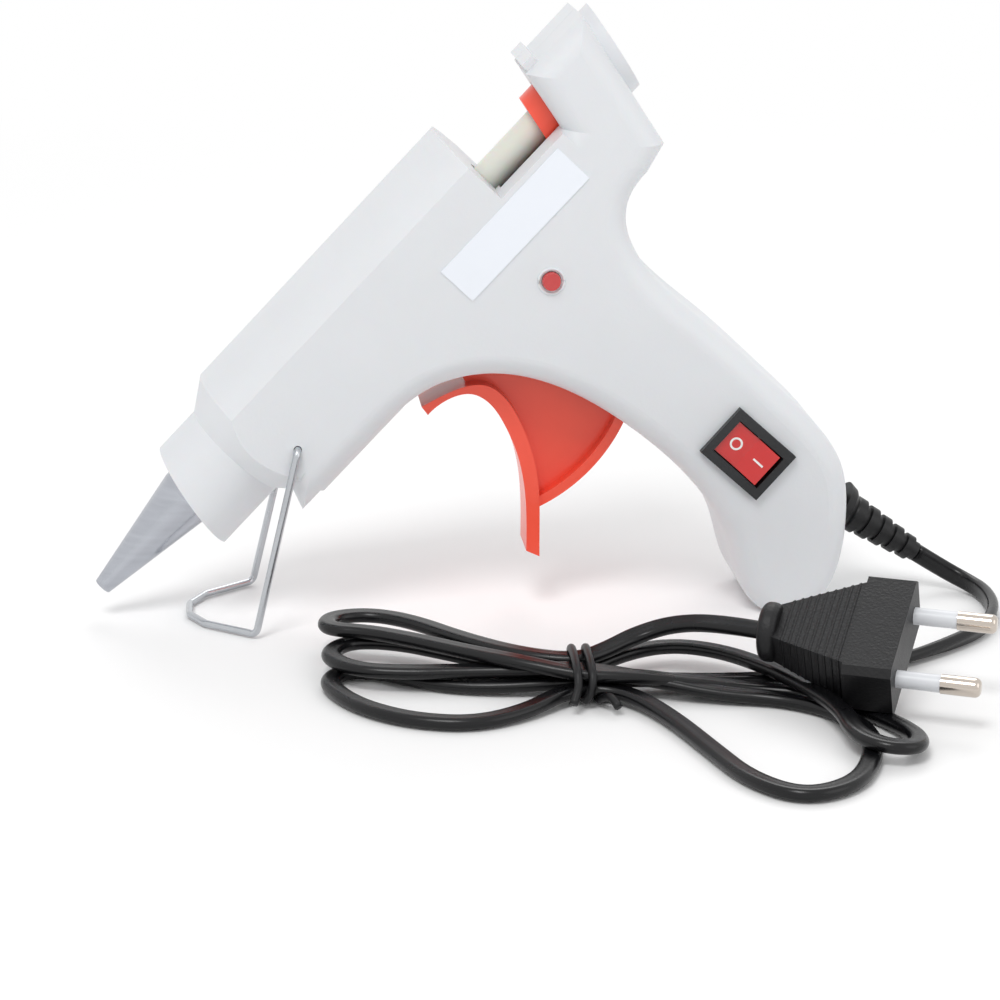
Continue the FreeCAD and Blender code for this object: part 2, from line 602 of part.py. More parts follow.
def indicator_lens():
    spot = at(LED_S, LED_N)
    barrel = cross_rod(LED_R, spot.x, spot.z, -HALF_WIDTH - 0.2, -HALF_WIDTH + 3.6)
    dome = Part.makeSphere(LED_R, Vector(spot.x, -HALF_WIDTH - 0.2, spot.z))
    dome = dome.common(y_layer(-HALF_WIDTH - 1.2, -HALF_WIDTH + 1))
    return fuse([barrel, dome])


def indicator_board():
    return block_s(LED_S - 3.5, LED_S + 3.5, LED_N - 3, LED_N + 3, -HALF_WIDTH + 3.6, -HALF_WIDTH + 4.8)


def side_label():
    """A bare label panel on the left side of the barrel."""
    return block_s(104.8, 141.0, 3.6, 13.0, -HALF_WIDTH - 0.25, -HALF_WIDTH)


# ---- strain relief and cord ---------------------------------------------
def relief_point(along, y=0.0):
    dip = math.radians(RELIEF_DIP)
    return Vector(RELIEF_X + along * math.cos(dip), y, RELIEF_Z - along * math.sin(dip))


def relief_turned(profile):
    """A body of revolution about the strain relief from (distance, radius) pairs."""
    wire = Part.makePolygon([Vector(r, 0, d) for d, r in profile + profile[:1]])
    solid = Part.Face(wire).revolve(Vector(0, 0, 0), Vector(0, 0, 1), 360)
    solid.Placement = Placement(relief_point(0), Rotation(Vector(0, 1, 0), 90 + RELIEF_DIP))
    return solid


def strain_relief():
    """A tapered sleeve with five rings, and a neck and flange inside the grip."""
    profile = [(-7.5, 0), (-7.5, RELIEF_NECK_R + 1.2), (-5.2, RELIEF_NECK_R + 1.2), (-5.2, RELIEF_NECK_R),
               (0.4, RELIEF_NECK_R), (0.4, 5.8), (2.4, 5.2), (3.8, 3.9)]
    pitch = (RELIEF_LENGTH - 4.2) / 5
    for i in range(5):
        d = 4.2 + i * pitch
        r = RELIEF_R + (RELIEF_TIP_R - RELIEF_R) * i / 4
        profile += [(d, r), (d + pitch * 0.55, r), (d + pitch * 0.6, r - 0.7), (d + pitch, r - 0.9)]
        if i < 4:
            profile.append((d + pitch, r - 0.33))
    profile[-1] = (RELIEF_LENGTH, RELIEF_TIP_R - 0.7)
    profile.append((RELIEF_LENGTH, 0))
    return relief_turned(profile).cut(rod(CORD_R, relief_point(-10), relief_point(RELIEF_LENGTH + 1)))


def inner_cord():
    """The end of the cord inside the strain relief and the grip."""
    return rod(CORD_R, relief_point(-STUB_LENGTH), relief_point(RELIEF_LENGTH))


def cord_clamp():
    """The bar that grips the cord, caught between the two housing halves."""
    half = HALF_WIDTH - WALL
    bar = Part.makeBox(4, 2 * half, 2.4, Vector(-2, -half, CORD_R))
    bar.Placement = Placement(relief_point(2.5 - STUB_LENGTH), Rotation(Vector(0, 1, 0), RELIEF_DIP))
    return bar


CORD_Z = CORD_R + 0.1
LEAD_ROUTE = [(100.3, 0.0, 8.9), (107.5, -0.4, 4.3), (114.5, -4.0, CORD_Z), (117.6, -12.0, CORD_Z),
              (115.6, -23.5, CORD_Z), (108.5, -35.5, CORD_Z), (96.5, -45.5, CORD_Z), (82.0, -53.0, CORD_Z),
              (70.0, -56.5, CORD_Z)]
PLUG_ROUTE = [(29.0, -50.5, 6.6), (36.0, -52.5, 9.8), (43.5, -57.5, 12.6), (51.0, -62.8, 13.5)]


def tube(route, radius, bend=None):
    """A round tube along straight runs joined by arcs of a given radius, or as large as the runs allow."""
    points = [Vector(*p) for p in route]
    edges = []
    last = points[0]
    for before, corner, after in zip(points, points[1:], points[2:]):
        a, b = before - corner, after - corner
        half_turn = (math.pi - a.getAngle(b)) / 2
        reach = bend * math.tan(half_turn) if bend else 0.45 * min(a.Length, b.Length)
        print("arc radius", round(reach / math.tan(half_turn), 1))
        a.normalize()
        b.normalize()
        start, end = corner + a * reach, corner + b * reach
        inward = (a + b).normalize()
        away = reach / math.tan(half_turn) * (1 / math.cos(half_turn) - 1)
        edges += [Part.makeLine(last, start), Part.Arc(start, corner + inward * away, end).toShape()]
        last = end
    edges.append(Part.makeLine(last, points[-1]))
    ring = Part.Wire(Part.makeCircle(radius, points[0], points[1] - points[0]))
    return Part.Wire(edges).makePipeShell([ring], True, True)


HANK_OUTLINE = [(12, -49), (-6, -38), (-17, -23), (-26, -20.5), (-37, -21), (-38, -62), (-26, -76), (-8, -83),
                (4, -76), (12, -70), (17, -70), (24, -76), (32, -100), (41, -122), (52, -126), (64, -116),
                (76, -99), (77, -88), (74, -60), (62, -53), (44, -48), (28, -44), (17, -49)]
HANK_LOW, HANK_HIGH = 5.0, 8.6
TIE_X0, TIE_X1 = 13.0, 16.0
TIE_CORE = (-68.0, -51.0, 1.5, 7.4)  # y and z limits of the bundle under the tie


def cord_hank():
    """The tied bundle's outer shape: two flat fans and a thicker middle."""
    wire = Part.makePolygon([Vector(x, y, 0.1) for x, y in HANK_OUTLINE + HANK_OUTLINE[:1]])
    fans = Part.Face(wire).extrude(Vector(0, 0, HANK_LOW - 0.1))
    middle = Part.makeBox(35, 20, HANK_HIGH - 1, Vector(-5, -69.5, 1))
    band = Part.makeBox(TIE_X1 - TIE_X0, 200, 30, Vector(TIE_X0, -160, -5)).cut(tie_core())
    plug_room = on_plug(Part.makeBox(34, 31, 14, Vector(-11, -15.5, -7)))
    neck_room = on_plug(Part.makeLoft([plug_section(-PLUG_NECK - 3, 14, 14), plug_section(-9, 28, 14)], True, True))
    return fuse([fans, middle]).cut([band, plug_room, neck_room])


def tie_core():
    y0, y1, z0, z1 = TIE_CORE
    return Part.makeBox(TIE_X1 - TIE_X0, y1 - y0, z1 - z0, Vector(TIE_X0, y0, z0))


def cord_tie():
    y0, y1, z0, z1 = TIE_CORE
    band = Part.makeBox(TIE_X1 - TIE_X0, y1 - y0 + 2.6, z1 - z0 + 2.6, Vector(TIE_X0, y0 - 1.3, z0 - 1.3))
    return band.cut(tie_core())


# ---- plug ---------------------------------------------------------------
PLUG_PLACE = Placement(Vector(78.9, -76.6, 13.5), Rotation(-25.2, 0, 0)).multiply(
    Placement(Vector(0, 0, 0), Rotation(Vector(1, 0, 0), 25)))
PLUG_WIDE, PLUG_THICK, PLUG_BLOCK = 29.0, 12.4, 10.0
PLUG_NECK = 28.0             # from the front face to the flange's middle
PIN_SPACING = 18.6
PLUG_PIN_R = 2.0
PLUG_SLEEVE_R = 1.8
PLUG_PIN_LENGTH = 17.0
SLEEVE_LENGTH = 9.0
SLEEVE_BORE = 1.4


def on_plug(shape):
    """Place a shape drawn with +X along the pins and the front face at X = 0."""
    shape.Placement = PLUG_PLACE.multiply(shape.Placement)
    return shape


def plug_section(x, wide, thick):
    y, z = wide / 2, thick / 2
    corners = [Vector(x, -y, -z), Vector(x, y, -z), Vector(x, y, z), Vector(x, -y, z)]
    return Part.makePolygon(corners + corners[:1])


def plug_rods(radius, x0, x1):
    return [Part.makeCylinder(radius, x1 - x0, Vector(x0, y, 0), Vector(1, 0, 0))
            for y in (-PIN_SPACING / 2, PIN_SPACING / 2)]


def plug_body():
    block = Part.makeBox(PLUG_BLOCK, PLUG_WIDE, PLUG_THICK, Vector(-PLUG_BLOCK, -PLUG_WIDE / 2, -PLUG_THICK / 2))
    block = block.makeChamfer(1.4, [e for e in block.Edges if e.BoundBox.XLength > 1])
    neck = Part.makeLoft([plug_section(-PLUG_NECK, 8.6, 6.6), plug_section(-PLUG_BLOCK, 24.0, 11.2)], True, True)
    flange = Part.makeCylinder(6.2, 4.0, Vector(-PLUG_NECK - 2, 0, 0), Vector(1, 0, 0))
    flange = flange.makeFillet(1.6, flange.Edges[0:1] + flange.Edges[2:3])
    body = fuse([block, neck, flange])
    return on_plug(body.cut(plug_rods(SLEEVE_BORE, -8, 1)))


def plug_sleeves():
    tubes = [outer.cut(inner) for outer, inner in zip(plug_rods(PLUG_SLEEVE_R, 0, SLEEVE_LENGTH),
                                                      plug_rods(SLEEVE_BORE, -1, SLEEVE_LENGTH + 1))]
    return on_plug(Part.makeCompound(tubes))


def plug_pins():
    pins = []
    for core, head in zip(plug_rods(SLEEVE_BORE, -8, SLEEVE_LENGTH + 1),
                          plug_rods(PLUG_PIN_R, SLEEVE_LENGTH, PLUG_PIN_LENGTH)):
        tip = [e for e in head.Edges if e.BoundBox.XLength < 1e-6 and e.BoundBox.XMin > PLUG_PIN_LENGTH - 0.1]
        pins.append(fuse([core, head.makeFillet(1.2, tip)]))
    return on_plug(Part.makeCompound(pins))


# ---- stand and screws ---------------------------------------------------
def wire_stand():
    """One bent wire: two legs from the housing's sides, and a foot reaching forward."""
    hole = at(STAND_S, STAND_N)
    r = STAND_WIRE_R
    near, far = HALF_WIDTH + r + 0.5, 19.0
    front = FOOT_X - FOOT_REACH
    half = [(hole.x, HALF_WIDTH - 5, hole.z), (hole.x, near, hole.z), (FOOT_X, far, r + 0.1),
            (front + 3.5, far * 0.55, r + 0.1), (front, far * 0.2, r + 0.1)]
    return tube([(x, -y, z) for x, y, z in half] + half[::-1], r, STAND_BEND)


def housing_screws():
    screws = []
    for screw in SCREWS:
        x, z = screw_xz(screw)
        shank = cross_rod(SCREW_R - 0.25, x, z, -SCREW_BITE, SCREW_SEAT)
        head = cross_rod(SCREW_HEAD_R, x, z, SCREW_SEAT, SCREW_SEAT + 1.8)
        slot = cross_rod(0.8, x, z, SCREW_SEAT + 0.8, SCREW_SEAT + 2)
        screws.append(fuse([shank, head]).cut(slot))
    return Part.makeCompound(screws)


def build():
    left, right = housing_halves()
    nodes = {
        "left_housing": left, "right_housing": right, "housing_screws": housing_screws(), "nozzle": nozzle(),
        "melt_chamber": melt_chamber(), "nose_collar": nose_collar(), "heater_plate": heater_plate(),
        "heater_clip": heater_clip(), "inlet_sleeve": inlet_sleeve(), "sleeve_clamp": sleeve_clamp(),
        "inlet_ring": inlet_ring(), "pivot_pin": pivot_pin(), "return_spring": return_spring(),
        "spring_post": spring_post(), "trigger": trigger(), "stick_carrier": stick_carrier(),
        "feed_links": feed_links(), "stick_gripper": stick_gripper(), "gripper_pin": gripper_pin(),
        "glue_stick": glue_stick(), "switch_body": switch_body(), "switch_rocker": switch_rocker(),
        "switch_terminals": switch_terminals(), "supply_wires": supply_wires(), "heater_wires": heater_wires(),
        "indicator_lens": indicator_lens(), "indicator_board": indicator_board(), "side_label": side_label(),
        "wire_stand": wire_stand(), "strain_relief": strain_relief(), "inner_cord": inner_cord(),
        "cord_clamp": cord_clamp(),
        "cord_lead": tube(LEAD_ROUTE, CORD_R), "cord_hank": cord_hank(), "cord_tie": cord_tie(),
        "plug_lead": tube(PLUG_ROUTE, CORD_R), "plug_body": plug_body(), "plug_sleeves": plug_sleeves(),
        "plug_pins": plug_pins(),
    }
    os.makedirs("parts", exist_ok=True)
    for name, shape in nodes.items():
        shape.translate(Vector(MIDDLE_X, 0, 0))
        box = shape.BoundBox
        print(name, shape.isValid(), len(shape.Solids), round(shape.Volume, 1), [round(v, 1) for v in (
            box.XMin, box.XMax, box.YMin, box.YMax, box.ZMin, box.ZMax)])
        shape.exportStep("parts/" + name + ".step")


build()
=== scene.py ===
import math

import bpy
import numpy as np
from mathutils import Matrix, Vector


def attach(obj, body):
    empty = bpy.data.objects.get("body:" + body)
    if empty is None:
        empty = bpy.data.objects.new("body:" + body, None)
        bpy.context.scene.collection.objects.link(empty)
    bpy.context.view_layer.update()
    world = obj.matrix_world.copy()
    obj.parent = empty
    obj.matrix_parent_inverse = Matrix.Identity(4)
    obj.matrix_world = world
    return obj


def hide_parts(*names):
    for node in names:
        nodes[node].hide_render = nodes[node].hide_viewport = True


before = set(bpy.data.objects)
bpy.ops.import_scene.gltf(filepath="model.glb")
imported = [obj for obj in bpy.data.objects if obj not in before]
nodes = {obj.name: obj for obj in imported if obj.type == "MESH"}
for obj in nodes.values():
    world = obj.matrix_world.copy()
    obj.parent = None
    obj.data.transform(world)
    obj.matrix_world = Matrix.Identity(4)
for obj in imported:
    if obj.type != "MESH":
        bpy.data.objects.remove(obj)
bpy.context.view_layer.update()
MM = 0.001

# Gun frame, in mm: s runs back along the barrel axis from the nozzle's tip, n runs towards the grip.
# MIDDLE_X puts the middle of the gun over the origin; x values below are given without it.
ANGLE = math.radians(46.3)
MIDDLE_X = 2.8
TIP = Vector((MIDDLE_X - 85.2, 0.0, 7.0))
BACK = Vector((math.cos(ANGLE), 0.0, math.sin(ANGLE)))
DOWN = Vector((math.sin(ANGLE), 0.0, -math.cos(ANGLE)))


def at(s, n, y=0.0):
    """A point in the gun's frame, in metres."""
    return (TIP + BACK * s + DOWN * n + Vector((0, y, 0))) * MM


# ---- materials ----------------------------------------------------------
ROUGH_SPREAD, ROUGH_LEAST = 0.06, 0.02
GRAIN_DEPTH = 0.0002


def srgb(r, g, b):
    """A linear colour from 8-bit screen values."""
    return tuple(((c / 255 + 0.055) / 1.055) ** 2.4 if c > 10 else c / 255 / 12.92 for c in (r, g, b)) + (1.0,)


def material(name, color, rough=0.4, metal=0.0, bump=0.0, bump_scale=900.0, vary=0.04, vary_scale=60.0, stretch=None,
             **sockets):
    """A Principled material with cloudy colour and roughness and, where bump is set, a fine grain.

    vary is the share by which the colour is lightened (and, half as much again, darkened).
    """
    mat = bpy.data.materials.new(name)
    mat.use_nodes = True
    tree = mat.node_tree
    shader = tree.nodes["Principled BSDF"]
    shader.inputs["Metallic"].default_value = metal
    for key, value in sockets.items():
        shader.inputs[key.replace("_", " ")].default_value = value
    coords = tree.nodes.new("ShaderNodeTexCoord")
    source = coords.outputs["Object"]
    if stretch:
        mapping = tree.nodes.new("ShaderNodeMapping")
        mapping.inputs["Scale"].default_value = stretch[0]
        mapping.inputs["Rotation"].default_value = stretch[1]
        tree.links.new(source, mapping.inputs["Vector"])
        source = mapping.outputs["Vector"]
    cloud = tree.nodes.new("ShaderNodeTexNoise")
    cloud.inputs["Scale"].default_value = vary_scale
    cloud.inputs["Detail"].default_value = 4
    tree.links.new(source, cloud.inputs["Vector"])
    tint = tree.nodes.new("ShaderNodeValToRGB")
    dark = tuple(c * (1 - vary * 1.5) for c in color[:3]) + (1.0,)
    light = tuple(min(1.0, c * (1 + vary)) for c in color[:3]) + (1.0,)
    tint.color_ramp.elements[0].color = dark
    tint.color_ramp.elements[1].color = light
    tint.color_ramp.elements[0].position = 0.25
    tint.color_ramp.elements[1].position = 0.75
    tree.links.new(cloud.outputs["Fac"], tint.inputs["Fac"])
    tree.links.new(tint.outputs["Color"], shader.inputs["Base Color"])
    gloss = tree.nodes.new("ShaderNodeMapRange")
    gloss.inputs["To Min"].default_value = max(ROUGH_LEAST, rough - ROUGH_SPREAD)
    gloss.inputs["To Max"].default_value = min(1.0, rough + ROUGH_SPREAD)
    tree.links.new(cloud.outputs["Fac"], gloss.inputs["Value"])
    tree.links.new(gloss.outputs["Result"], shader.inputs["Roughness"])
    if bump:
        grain = tree.nodes.new("ShaderNodeTexNoise")
        grain.inputs["Scale"].default_value = bump_scale
        grain.inputs["Detail"].default_value = 3
        tree.links.new(source, grain.inputs["Vector"])
        relief = tree.nodes.new("ShaderNodeBump")
        relief.inputs["Strength"].default_value = bump
        relief.inputs["Distance"].default_value = GRAIN_DEPTH
        tree.links.new(grain.outputs["Fac"], relief.inputs["Height"])
        tree.links.new(relief.outputs["Normal"], shader.inputs["Normal"])
    return mat


M = {
    "housing": material("housing_plastic_m", srgb(222, 224, 227), 0.42, bump=0.12, bump_scale=1400, vary=0.012,
                        Subsurface_Weight=0.08, Subsurface_Scale=0.002, Specular_IOR_Level=0.45),
    "orange": material("orange_plastic_m", srgb(248, 84, 60), 0.30, bump=0.08, vary=0.03, Coat_Weight=0.2),
    "nozzle": material("nozzle_metal_m", srgb(182, 185, 192), 0.24, 1.0, bump=0.10, bump_scale=500, vary=0.06,
                       stretch=((1, 1, 12), (0, math.pi / 2 - ANGLE, 0))),
    "chamber": material("chamber_metal_m", srgb(170, 172, 176), 0.35, 1.0, bump=0.15),
    "steel": material("stand_steel_m", srgb(190, 193, 197), 0.26, 1.0, bump=0.10, bump_scale=1500, vary=0.08),
    "screw": material("screw_steel_m", srgb(120, 122, 126), 0.35, 1.0, bump=0.15),
    "ceramic": material("ceramic_m", srgb(222, 216, 202), 0.7, bump=0.2),
    "silicone": material("silicone_m", srgb(226, 226, 220), 0.45, bump=0.1),
    "stick": material("hot_melt_m", srgb(224, 226, 216), 0.30, vary=0.03, Subsurface_Weight=0.4,
                      Subsurface_Scale=0.003),
    "bezel": material("switch_black_m", srgb(38, 39, 41), 0.38, bump=0.55, bump_scale=1700, vary=0.15),
    "rocker": material("switch_red_m", srgb(205, 24, 22), 0.18, vary=0.04, Coat_Weight=0.5),
    "mark": material("switch_mark_m", srgb(240, 238, 236), 0.4, vary=0.02),
    "brass": material("brass_blade_m", srgb(196, 160, 88), 0.3, 1.0, bump=0.1),
    "wire": material("wire_insulation_m", srgb(120, 66, 38), 0.45, vary=0.05),
    "lens": material("lens_red_m", srgb(226, 34, 34), 0.12, vary=0.05, Coat_Weight=1.0, Transmission_Weight=0.25),
    "board": material("board_green_m", srgb(46, 104, 60), 0.5, bump=0.1),
    "label": material("label_white_m", srgb(236, 240, 247), 0.25, vary=0.01, Coat_Weight=0.4),
    "cord": material("cord_black_m", srgb(12, 12, 14), 0.27, bump=0.10, bump_scale=700, vary=0.2,
                     Specular_IOR_Level=0.35),
    "relief": material("relief_black_m", srgb(15, 15, 17), 0.42, bump=0.25, bump_scale=1200, vary=0.2,
                       Specular_IOR_Level=0.35),
    "plug": material("plug_black_m", srgb(18, 18, 20), 0.46, bump=0.6, bump_scale=1500, vary=0.2,
                     Specular_IOR_Level=0.35),
    "sleeve": material("sleeve_pale_m", srgb(225, 227, 231), 0.35, vary=0.02),
    "nickel": material("nickel_m", srgb(200, 190, 180), 0.14, 1.0, vary=0.06),
}
NODE_LOOKS = {
    "housing": ["left_housing", "right_housing", "inlet_ring"],
    "orange": ["trigger", "stick_carrier"],
    "nozzle": ["nozzle"],
    "chamber": ["melt_chamber"],
    "steel": ["wire_stand", "feed_links", "stick_gripper", "gripper_pin", "pivot_pin", "return_spring", "spring_post",
              "heater_clip", "sleeve_clamp"],
    "screw": ["housing_screws"],
    "ceramic": ["nose_collar", "heater_plate"],
    "silicone": ["inlet_sleeve"],
    "stick": ["glue_stick"],
    "bezel": ["switch_body", "cord_clamp"],
    "rocker": ["switch_rocker"],
    "brass": ["switch_terminals"],
    "wire": ["supply_wires", "heater_wires"],
    "lens": ["indicator_lens"],
    "board": ["indicator_board"],
    "label": ["side_label"],
    "cord": ["inner_cord"],
    "relief": ["strain_relief"],
    "plug": ["plug_body"],
    "sleeve": ["plug_sleeves"],
    "nickel": ["plug_pins"],
}
for look, names in NODE_LOOKS.items():
    for name in names:
        slots = nodes[name].data.materials
        slots.clear()
        slots.append(M[look])


# ---- mesh helpers -------------------------------------------------------
def add_mesh(name, verts, faces, look, smooth=True):
    mesh = bpy.data.meshes.new(name)
    mesh.from_pydata([tuple(v) for v in verts], [], faces)
    mesh.validate()
    mesh.update()
    piece = bpy.data.objects.new(name, mesh)
    bpy.context.scene.collection.objects.link(piece)
    mesh.materials.append(M[look])
    if smooth:
        mesh.polygons.foreach_set("use_smooth", [True] * len(mesh.polygons))
    return piece


def spline_points(points, per_point=8):
    """Points along the NURBS spline whose control points are given, in metres."""
    data = bpy.data.curves.new("route", "CURVE")
    data.dimensions = "3D"
    spline = data.splines.new("NURBS")
    spline.points.add(len(points) - 1)
    for p, q in zip(spline.points, points):
        p.co = (*q, 1.0)
    spline.order_u = 3
    spline.use_endpoint_u = True
    spline.resolution_u = per_point
    holder = bpy.data.objects.new("route", data)
    bpy.context.scene.collection.objects.link(holder)
    line = bpy.data.meshes.new_from_object(holder)
    out = [v.co.copy() for v in line.vertices]
    bpy.data.objects.remove(holder)
    bpy.data.meshes.remove(line)
    bpy.data.curves.remove(data)
    return out


def tangents(path):
    ends = [path[0]] + list(path) + [path[-1]]
    return [(ends[i + 2] - ends[i]).normalized() for i in range(len(path))]


def sweep(name, path, section, look, leans=None):
    """A closed tube along a path.

    The section is a ring of (across, up) pairs in metres; leans turn it about the path, in degrees.
    """
    verts, faces = [], []
    count = len(section)
    for i, (p, t) in enumerate(zip(path, tangents(path))):
        across = t.cross(Vector((0, 0, 1)))
        across = across.normalized() if across.length > 1e-4 else Vector((1, 0, 0))
        up = across.cross(t).normalized()
        turn = Matrix.Rotation(math.radians(leans[i] if leans else 0.0), 3, t)
        across, up = turn @ across, turn @ up
        verts += [p + across * a + up * b for a, b in section]
    for i in range(len(path) - 1):
        for j in range(count):
            k = (j + 1) % count
            faces.append((i * count + j, i * count + k, (i + 1) * count + k, (i + 1) * count + j))
    faces.append(tuple(range(count))[::-1])
    faces.append(tuple((len(path) - 1) * count + j for j in range(count)))
    return add_mesh(name, verts, faces, look)


def round_section(radius, count=16):
    return [(radius * math.cos(2 * math.pi * i / count), radius * math.sin(2 * math.pi * i / count))
            for i in range(count)]


# ---- cord ---------------------------------------------------------------
CORD_WIDE, CORD_THICK = 4.2, 2.7
GROOVE_DEPTH, GROOVE_WIDTH = 0.20, 0.22
SECTION_POINTS = 28


def twin_section():
    """The flat twin cord: two round cores side by side with a shallow groove between them."""
    out = []
    core = CORD_THICK / 2
    reach = CORD_WIDE / 2 - core
    for i in range(SECTION_POINTS):
        angle = 2 * math.pi * (i + 0.5) / SECTION_POINTS
        c, s = math.cos(angle), math.sin(angle)
        groove = GROOVE_DEPTH * math.exp(-(c / GROOVE_WIDTH) ** 2)
        across = math.copysign(reach, c) * min(1, abs(c) * 3) + core * c
        out.append((across * MM, (core - groove) * s * MM))
    return out


# x, y, z in mm and the lean of the cord's wide side in degrees: 90 stands on its edge, 0 lies flat.
CORD = [
    # From the strain relief round the right and under the plug to the tie.
    (100.3, 0.0, 8.9, 90), (107.0, -0.4, 4.6, 90), (112.4, -4.2, 2.2, 90), (114.2, -12.0, 2.2, 90),
    (112.8, -23.5, 2.3, 80), (107.2, -35.2, 2.15, 60), (96.0, -44.5, 1.9, 30), (82.0, -52.5, 1.5, 0),
    (70.0, -57.0, 1.5, 0), (56.0, -60.0, 1.5, 0), (42.0, -61.0, 1.9, 0), (28.0, -60.8, 2.7, 0),
    (14.5, -60.8, 2.9, 0),
    # Left loop nearest the floor, back to the tie.
    (0.0, -60.0, 2.0, 0), (-11.0, -57.5, 1.5, 0), (-20.0, -52.5, 1.5, 0), (-27.0, -47.0, 1.5, 0),
    (-34.0, -46.5, 1.5, 0), (-37.5, -52.0, 1.5, 0), (-35.0, -61.0, 1.5, 0), (-29.5, -69.5, 1.5, 0),
    (-20.5, -76.5, 1.5, 0), (-9.0, -79.3, 1.5, 0), (2.0, -74.0, 1.7, 0), (10.0, -66.5, 2.6, 0),
    # Large loop on the right.
    (18.0, -65.0, 2.9, 0), (25.0, -69.5, 2.3, 0), (31.0, -82.0, 1.6, 0), (35.5, -98.0, 1.5, 0),
    (40.0, -114.0, 1.5, 0), (48.5, -123.5, 1.5, 0), (59.5, -118.5, 1.5, 0), (66.0, -105.5, 1.5, 0),
    (68.5, -92.0, 1.5, 0), (64.0, -79.5, 1.5, 0), (54.5, -71.5, 1.5, 0), (42.0, -69.0, 2.0, 0),
    (28.0, -64.5, 4.2, 0), (14.5, -60.7, 5.7, 0),
    # Second loop on the left.
    (1.0, -58.0, 4.7, 0), (-10.0, -56.5, 4.4, 0), (-21.0, -56.0, 4.3, 0), (-32.0, -53.0, 4.3, 0),
    (-37.5, -44.0, 4.3, 0), (-32.5, -35.5, 4.3, 0), (-22.0, -37.5, 4.4, 0), (-10.0, -46.5, 4.4, 0),
    (3.0, -54.0, 3.4, 0), (14.5, -56.2, 2.9, 0),
    # Fold on the right, beside the plug.
    (25.5, -49.5, 4.6, 0), (36.0, -45.5, 4.6, 0), (46.0, -50.5, 4.6, 0), (54.0, -61.5, 4.6, 0),
    (60.0, -74.0, 4.5, 0), (64.0, -87.0, 4.5, 0), (63.5, -100.0, 4.5, 0), (68.0, -106.5, 4.1, 0),
    (75.0, -105.5, 3.3, 0), (77.0, -95.0, 1.9, 0), (71.5, -82.0, 1.5, 0), (62.0, -69.5, 1.5, 0),
    (50.0, -65.3, 1.5, 0), (38.0, -65.0, 3.0, 0), (26.0, -66.0, 5.4, 0), (14.5, -65.0, 5.7, 0),
    # Uppermost loop on the left.
    (2.0, -60.5, 7.4, 0), (-9.0, -52.0, 7.2, 0), (-19.0, -43.5, 7.1, 0), (-28.0, -37.5, 7.1, 0),
    (-36.8, -34.5, 7.0, 0), (-35.8, -25.5, 6.4, 0), (-27.0, -22.8, 6.0, 0), (-18.0, -28.5, 6.0, 0),
    (-8.0, -41.5, 6.0, 0), (3.0, -52.0, 6.0, 0), (14.5, -56.2, 5.7, 0),
    # From the tie up to the plug.
    (21.5, -53.0, 6.8, 10), (28.0, -49.0, 8.4, 20), (36.0, -51.0, 11.4, 30), (44.5, -58.5, 13.6, 30),
    (53.6, -64.7, 13.5, 25),
]
cord_path = spline_points([Vector((x + MIDDLE_X, y, z)) * MM for x, y, z, _ in CORD])
marks = np.linspace(0, len(CORD) - 1, len(cord_path))
leans = list(np.interp(marks, range(len(CORD)), [p[3] for p in CORD]))
cord = sweep("mains_cord", cord_path, twin_section(), "cord", leans)
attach(cord, "housing")
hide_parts("cord_lead", "cord_hank", "plug_lead")


# ---- tie ----------------------------------------------------------------
TIE_R = 0.9


def tie_route():
    """Two turns of wire round the bundle and two twisted, curled ends on the viewer's side."""
    low, high, near, far = TIE_R, 8.3, -70.0, -51.5
    points = [(11.5, -73.5, 2.6), (12.6, -71.5, 4.6)]
    for x in (13.0, 16.0):
        points += [(x, near, 5.5), (x, near + 2.5, high), (x + 0.4, far - 2.5, high + 0.2),
                   (x + 0.7, far, 5.5), (x + 0.9, far, 2.6), (x + 1.2, far - 2.5, low),
                   (x + 1.6, near + 2.5, low), (x + 2, near, 2.4)]
    points += [(19.5, -72.0, 3.6), (20.5, -74.5, 2.0)]
    return [Vector((x + MIDDLE_X, y, z)) * MM for x, y, z in points]


tie = sweep("wire_tie", spline_points(tie_route()), round_section(TIE_R * MM, 12), "relief")
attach(tie, "housing")
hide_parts("cord_tie")


# ---- plug ---------------------------------------------------------------
YAW, ROLL = math.radians(-25.2), math.radians(25)
PLUG_PLACE = Matrix.Translation(Vector((MIDDLE_X + 78.9, -76.6, 13.5)) * MM)
PLUG = PLUG_PLACE @ Matrix.Rotation(YAW, 4, "Z") @ Matrix.Rotation(ROLL, 4, "X")
RIBS, RIB_FIRST, RIB_STEP = 9, -24.6, 1.6
RIB_RISE, RIB_SUNK, RIB_BEVEL = 0.35, 0.5, 0.15
NECK_START, NECK_LENGTH = -28, 18  # in the plug's own frame, its pins pointing to +x
NECK_GROWS_Y, NECK_GROWS_Z = 7.7, 2.3


